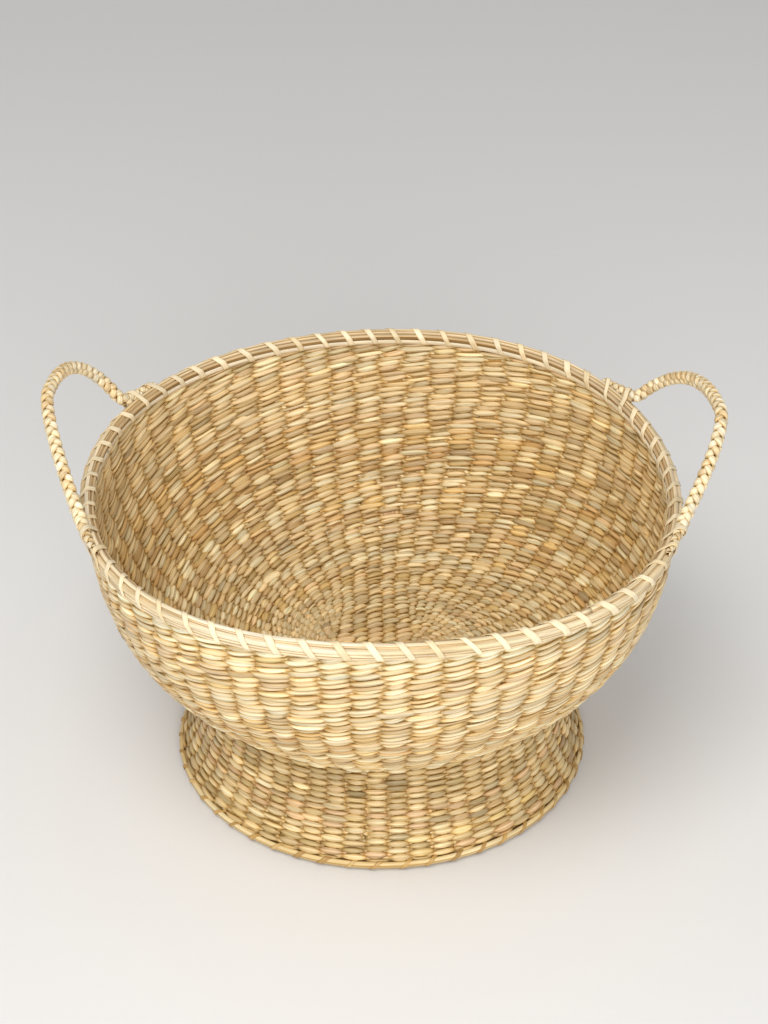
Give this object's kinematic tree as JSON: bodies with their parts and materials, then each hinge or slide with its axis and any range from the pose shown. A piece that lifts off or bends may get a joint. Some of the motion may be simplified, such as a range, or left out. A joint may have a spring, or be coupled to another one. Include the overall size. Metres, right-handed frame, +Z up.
{
  "type": "woven pedestal bowl",
  "caption": "Round woven rush bowl on a flared woven foot, with lashed rods round the rim and hem and a braided rope handle at each side that flexes at its roots.",
  "frame": {"origin": "centre of the foot on the surface that the bowl stands on", "axes": "+Z up, +X towards the right handle, +Y to the back, away from the viewer of the picture"},
  "size_m": [0.4251, 0.3774, 0.2584],
  "materials": {
    "bowl_straw": "dry rush strand, satin",
    "foot_straw": "dry rush strand, duller and partly olive",
    "rim_reed": "pale split reed, satin",
    "rim_strip": "pale flat strip, satin",
    "hem_reed": "tan reed, dull satin",
    "hem_strip": "brown flat strip, dull satin",
    "braid": "braided rush rope, satin"
  },
  "bodies": {
    "bowl": {"bowl_weave": "bowl_straw", "foot_weave": "foot_straw", "rim_rod_outer_lower": "rim_reed", "rim_rod_outer_upper": "rim_reed", "rim_rod_inner_lower": "rim_reed", "rim_rod_inner_upper": "rim_reed", "rim_rod_cap": "rim_reed", "rim_lashing": "rim_strip", "hem_rod_outer": "hem_reed", "hem_rod_inner": "hem_reed", "hem_rod_cap": "hem_reed", "hem_lashing": "hem_strip", "left_handle_front_tail": "braid", "left_handle_back_tail": "braid", "right_handle_front_tail": "braid", "right_handle_back_tail": "braid"},
    "left_handle": {"left_handle_loop": "braid"},
    "right_handle": {"right_handle_loop": "braid"}
  },
  "joints": [
    {"name": "left_handle_swing", "type": "hinge", "parent": "bowl", "child": "left_handle", "pos_m": [-0.18149, 0.02401, 0.21747], "axis": [-0.0734, -0.9973, 0.0039], "range_deg": [-50, 50], "stiffness_Nm_per_rad": 0.05, "springref_deg": -0.57},
    {"name": "right_handle_swing", "type": "hinge", "parent": "bowl", "child": "right_handle", "pos_m": [0.18187, 0.01877, 0.2178], "axis": [-0.0964, 0.9952, 0.0161], "range_deg": [-50, 50], "stiffness_Nm_per_rad": 0.05, "springref_deg": -0.57}
  ]
}
